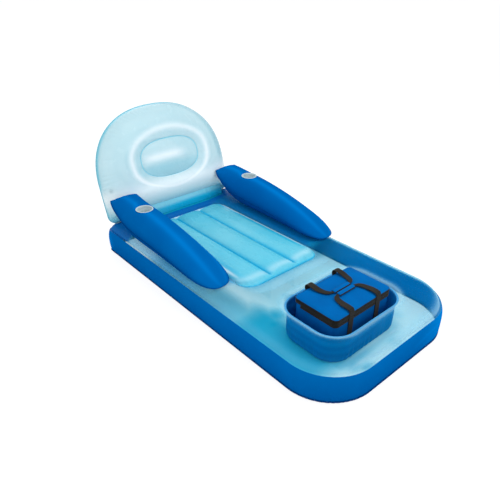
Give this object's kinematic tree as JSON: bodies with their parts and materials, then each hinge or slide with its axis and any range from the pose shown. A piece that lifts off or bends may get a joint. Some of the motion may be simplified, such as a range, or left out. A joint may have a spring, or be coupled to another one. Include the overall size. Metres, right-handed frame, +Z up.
{
  "type": "pool air mattress",
  "caption": "Inflatable lounger with a translucent chamber, channelled seat panel, armrests with cup holders, an arched backrest and a well for a zipped cooler bag.",
  "frame": {"origin": "centre of the base's flat underside", "axes": "+Z up, +Y along the lounger towards the head end, +X to its right side as seen from the foot end"},
  "size_m": [0.84, 1.8098, 0.6936],
  "materials": {
    "deep_blue_film": "opaque deep-blue vinyl film, soft gloss",
    "clear_blue_film": "translucent light-blue vinyl film, soft gloss",
    "white_film": "translucent whitish vinyl film, soft gloss",
    "cyan_film": "translucent cyan vinyl film, soft gloss",
    "valve_vinyl": "soft moulded vinyl",
    "plug_vinyl": "soft moulded vinyl",
    "cup_plastic": "thin formed pale grey plastic",
    "bag_fabric": "woven deep-blue polyester",
    "bag_foil": "silver insulating foil",
    "webbing": "woven black webbing and zip tape",
    "zip_metal": "bright metal"
  },
  "bodies": {
    "base": {"side_wall": "deep_blue_film", "top_sheet": "clear_blue_film", "bottom_sheet": "clear_blue_film", "seat_panel": "clear_blue_film", "seat_beam_left": "white_film", "seat_beam_right": "white_film", "well_collar": "clear_blue_film", "well_liner": "deep_blue_film", "well_floor": "deep_blue_film", "armrest_left_upper": "deep_blue_film", "armrest_left_lower": "deep_blue_film", "armrest_right_upper": "deep_blue_film", "armrest_right_lower": "deep_blue_film", "armrest_left_valve": "valve_vinyl", "armrest_right_valve": "valve_vinyl", "base_valve": "valve_vinyl", "cup_liner_left": "cup_plastic", "cup_liner_right": "cup_plastic"},
    "backrest": {"backrest_front_sheet": "white_film", "backrest_back_sheet": "white_film", "backrest_ring_beam": "white_film", "backrest_gusset": "cyan_film", "backrest_valve": "valve_vinyl"},
    "bag": {"cooler_body": "bag_fabric", "cooler_liner": "bag_foil", "zip_tape_lower": "webbing", "front_strap_left": "webbing", "front_strap_right": "webbing", "rear_strap_left": "webbing", "rear_strap_right": "webbing"},
    "lid": {"cooler_lid": "bag_fabric", "zip_tape_upper": "webbing"},
    "front_handle": {"front_handle": "webbing", "front_grip": "bag_fabric"},
    "rear_handle": {"rear_handle": "webbing", "rear_grip": "bag_fabric"},
    "zip_slider": {"zip_slider": "zip_metal"},
    "zip_pull": {"zip_pull": "zip_metal"},
    "base_valve_plug": {"base_valve_plug": "plug_vinyl"},
    "backrest_valve_plug": {"backrest_valve_plug": "plug_vinyl"},
    "armrest_left_valve_plug": {"armrest_left_valve_plug": "plug_vinyl"},
    "armrest_right_valve_plug": {"armrest_right_valve_plug": "plug_vinyl"}
  },
  "joints": [
    {"name": "backrest_recline", "type": "hinge", "parent": "base", "child": "backrest", "pos_m": [0, 0.76734, 0.15265], "axis": [-1, 0, 0], "range_deg": [0, 8], "stiffness_Nm_per_rad": 60},
    {"name": "bag_lift", "type": "slide", "parent": "base", "child": "bag", "axis": [0, 0, 1], "range_m": [0, 0.25]},
    {"name": "lid_hinge", "type": "hinge", "parent": "bag", "child": "lid", "pos_m": [0, -0.38, 0.1641], "axis": [-1, 0, 0], "range_deg": [0, 85], "deforming": ["front_handle", "front_grip"]},
    {"name": "front_handle_swing", "type": "hinge", "parent": "bag", "child": "front_handle", "pos_m": [0.085, -0.603, 0.1754], "axis": [1, 0, 0], "range_deg": [0, 100]},
    {"name": "rear_handle_swing", "type": "hinge", "parent": "lid", "child": "rear_handle", "pos_m": [0.085, -0.3786, 0.1679], "axis": [-1, 0, 0], "range_deg": [0, 70]},
    {"name": "zip_slide", "type": "slide", "parent": "bag", "child": "zip_slider", "axis": [0, 1, 0], "range_m": [-0.07, 0.035]},
    {"name": "zip_pull_swing", "type": "hinge", "parent": "zip_slider", "child": "zip_pull", "pos_m": [0.182, -0.478, 0.163], "axis": [0, -1, 0], "range_deg": [0, 90]},
    {"name": "base_valve_pull", "type": "slide", "parent": "base", "child": "base_valve_plug", "axis": [0, 1, 0], "range_m": [0, 0.012]},
    {"name": "backrest_valve_pull", "type": "slide", "parent": "backrest", "child": "backrest_valve_plug", "axis": [-0.3612, 0.874, -0.325], "range_m": [0, 0.012]},
    {"name": "armrest_left_valve_pull", "type": "slide", "parent": "base", "child": "armrest_left_valve_plug", "axis": [0, 0.7778, -0.6285], "range_m": [0, 0.012]},
    {"name": "armrest_right_valve_pull", "type": "slide", "parent": "base", "child": "armrest_right_valve_plug", "axis": [0, 0.7778, -0.6285], "range_m": [0, 0.012]}
  ]
}
